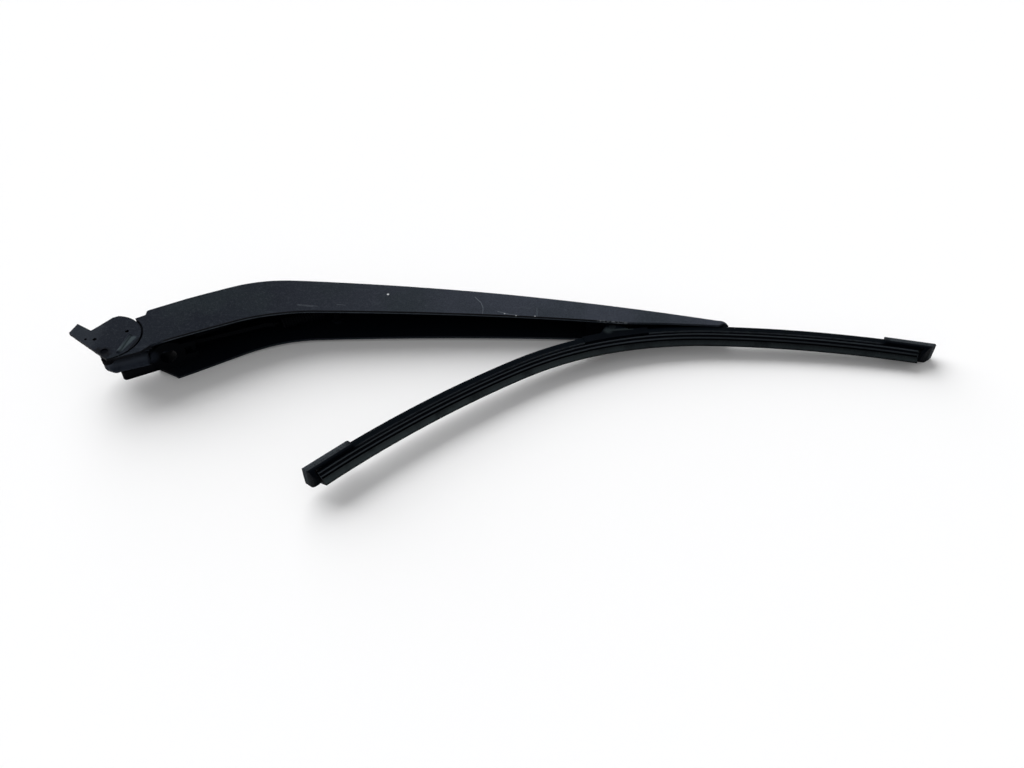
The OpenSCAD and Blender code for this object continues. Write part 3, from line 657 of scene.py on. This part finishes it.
def cap_plastic(name, end):
    """A grained cap; its back and its closed end catch the light. end is the blade's end in metres."""
    way = 1 if end > 0 else -1
    half = CAP_LEN / 2
    look = Look(name, CAP, rough=0.64, specular=DULL)
    along, up = look.frame_at(*blade_at(end - way * half))
    outward = look.times(along, way)
    grain = look.noise(1300.0, 4.0, 0.65)
    cloud = look.noise(200.0, 3.0)
    look.fleck(grain, 0.6, 0.8, 0.5, CAP_GRAIN)
    back = look.times(look.step(up, *CAP_BACK), look.step(outward, -half, LINE_FADE - half, 0.4, 1.0))
    tip = look.step(outward, half - CAP_TIP[0], half - CAP_TIP[1], 0.0, 0.45)
    light = look.times(look.math("MAXIMUM", back, tip), look.step(grain, 0.3, 0.6, 0.35, 1.0))
    look.mix(light, CAP_LIGHT)
    look.gloss(cloud, 0.55, 0.72)
    look.bump(grain, CAP_RELIEF)
    return look.done()


def adapter_plastic():
    """Nearly black; only the ear and its edge show any light."""
    look = Look("adapter_plastic", PLASTIC, rough=0.55, specular=DULL)
    grain = look.noise(1700.0, 3.0)
    cloud = look.noise(160.0, 3.0)
    look.fleck(cloud, 0.45, 0.7, 0.6, PLASTIC_LIGHT)
    ear = look.math("MAXIMUM", look.near(*EAR), look.stroke(*EAR_EDGE))
    # Painted highlight on the ear and along its edge
    look.mix(look.times(ear, look.step(grain, 0.2, 0.6, 0.3, 0.9)), EAR_LIGHT)
    look.gloss(cloud, 0.48, 0.64)
    look.bump(grain, PAINT_RELIEF)
    return look.done()


def metal(name, colour, light, rough, stretch=(1.0, 1.0, 0.1)):
    """Metal with fine lines, which run along the axis on which the noise is stretched."""
    look = Look(name, colour, rough=rough, metallic=1.0)
    cloud = look.noise(150.0, 3.0)
    brushed = look.noise(1600.0, 2.0, stretch=stretch)
    look.fleck(cloud, 0.4, 0.7, 0.7, light)
    look.gloss(brushed, rough - 0.08, rough + 0.1)
    look.bump(brushed, METAL_RELIEF)
    return look.done()


def black_wire():
    """Coated wire: its black coat, drawn darker still as painted shade inside the channel."""
    look = Look("spring_black", BLACK_WIRE, rough=0.5, specular=DULL)
    cloud = look.noise(400.0, 3.0)
    fine = look.noise(2400.0, 2.0)
    look.fleck(cloud, 0.4, 0.7, 0.8, BLACK_WIRE_LIGHT)
    look.gloss(cloud, 0.42, 0.6)
    look.bump(fine, METAL_RELIEF)
    return look.done()


def washer_plastic():
    """Grey plastic with soft clouds."""
    look = Look("washer_plastic", WASHER, rough=0.5)
    look.fleck(look.noise(300.0, 3.0), 0.4, 0.7, 0.6, WASHER_DARK)
    look.bump(look.noise(1800.0, 2.0), FINE_RELIEF)
    return look.done()


LOOKS = {
    "arm_paint": arm_paint(),
    "head_paint": head_paint(),
    "steel": metal("steel", STEEL, STEEL_LIGHT, 0.38),
    "spring_black": black_wire(),
    "spring_steel": metal("spring_steel", STRIP, STRIP_LIGHT, 0.45, (0.1, 1.0, 1.0)),
    "bush_bronze": metal("bush_bronze", BRONZE, BRONZE_LIGHT, 0.5),
    "washer_plastic": washer_plastic(),
    "adapter_plastic": adapter_plastic(),
    "blade_rubber": wiper_rubber(),
}
# Nodes whose finish differs within their slot
OWN_LOOKS = {
    "plate_stud": stud_paint(),
    "blade_pivot_pin": metal("pin_black", PIN_BLACK, PIN_LIGHT, 0.6),
    "end_cap_left": cap_plastic("cap_left", BLADE_ENDS[0]),
    "end_cap_right": cap_plastic("cap_right", BLADE_ENDS[1]),
    "spoiler_left": spoiler_rubber("spoiler_left", BLADE_ENDS[0]),
    "spoiler_right": spoiler_rubber("spoiler_right", BLADE_ENDS[1]),
}


def dress_nodes():
    """Gives each CAD node its material."""
    for part in frame["record"]["subparts"]:
        material = OWN_LOOKS.get(part["node"]) or LOOKS[part["material_slot"]]
        for s in frame["nodes"][part["node"]].material_slots:
            s.material = material


def add(name, data):
    """A new object in the scene."""
    obj = bpy.data.objects.new(name, data)
    bpy.context.scene.collection.objects.link(obj)
    return obj


def camera():
    """The camera of the photograph."""
    data = bpy.data.cameras.new("camera")
    data.sensor_width = SENSOR
    data.lens = LENS
    data.clip_start, data.clip_end = CLIP
    obj = add("camera", data)
    obj.location = CAMERA_AT
    ahead = Vector(LOOK_AT) - Vector(CAMERA_AT)
    obj.rotation_euler = ahead.to_track_quat("-Z", "Y").to_euler()
    bpy.context.scene.camera = obj


def seen_directly(tree):
    """1 for a ray from the camera, or through or off a mirror-like surface."""
    path = tree.nodes.new("ShaderNodeLightPath")
    out = path.outputs["Is Camera Ray"]
    for other in ("Is Glossy Ray", "Is Transmission Ray"):
        n = tree.nodes.new("ShaderNodeMath")
        n.operation = "MAXIMUM"
        tree.links.new(out, n.inputs[0])
        tree.links.new(path.outputs[other], n.inputs[1])
        out = n.outputs[0]
    return out


def floor_look():
    """Pale and matt, with a little light of its own, so that it is white where nothing shades it."""
    mat = bpy.data.materials.new("floor")
    mat.use_nodes = True
    tree = mat.node_tree
    shader = tree.nodes["Principled BSDF"]
    shader.inputs["Base Color"].default_value = FLOOR_COLOUR
    shader.inputs["Roughness"].default_value = FLOOR_ROUGH
    shader.inputs["Specular IOR Level"].default_value = 0.0
    glow = tree.nodes.new("ShaderNodeEmission")
    gain = tree.nodes.new("ShaderNodeMath")
    gain.operation = "MULTIPLY"
    gain.inputs[1].default_value = FLOOR_LIFT
    tree.links.new(seen_directly(tree), gain.inputs[0])
    tree.links.new(gain.outputs[0], glow.inputs["Strength"])
    both = tree.nodes.new("ShaderNodeAddShader")
    tree.links.new(shader.outputs[0], both.inputs[0])
    tree.links.new(glow.outputs[0], both.inputs[1])
    tree.links.new(both.outputs[0], tree.nodes["Material Output"].inputs["Surface"])
    return mat


def ground():
    """A plain floor under the three points on which the part lies."""
    mesh = bpy.data.meshes.new("floor")
    corners = [(-1, -1), (1, -1), (1, 1), (-1, 1)]
    rise = GROUND_RISE * FLOOR_REACH
    mesh.from_pydata([(GROUND_X + FLOOR_REACH * i, FLOOR_REACH * j, GROUND_Z + rise * i)
                      for i, j in corners], [], [(0, 1, 2, 3)])
    mesh.materials.append(floor_look())
    obj = add("floor", mesh)


def world():
    """Even light from all sides, white where it is seen directly."""
    w = bpy.data.worlds.new("world")
    bpy.context.scene.world = w
    w.use_nodes = True
    tree = w.node_tree
    back = tree.nodes["Background"]
    back.inputs["Color"].default_value = (1.0, 1.0, 1.0, 1)
    n = tree.nodes.new("ShaderNodeMix")
    n.data_type = "FLOAT"
    tree.links.new(seen_directly(tree), n.inputs["Factor"])
    n.inputs["A"].default_value = WORLD_LIGHT
    n.inputs["B"].default_value = 1.0
    tree.links.new(n.outputs["Result"], back.inputs["Strength"])


def lamp():
    """One broad, even light from behind and the left, which leaves no mirror image of itself."""
    data = bpy.data.lights.new("sun", "SUN")
    data.energy = SUN_LIGHT
    data.angle = math.radians(SUN_SPREAD)
    obj = add("sun", data)
    obj.rotation_euler = Vector(SUN_FROM).to_track_quat("Z", "Y").to_euler()
    obj.visible_glossy = False


dress_nodes()
camera()
ground()
world()
lamp()

bpy.context.scene.view_settings.view_transform = "Standard"
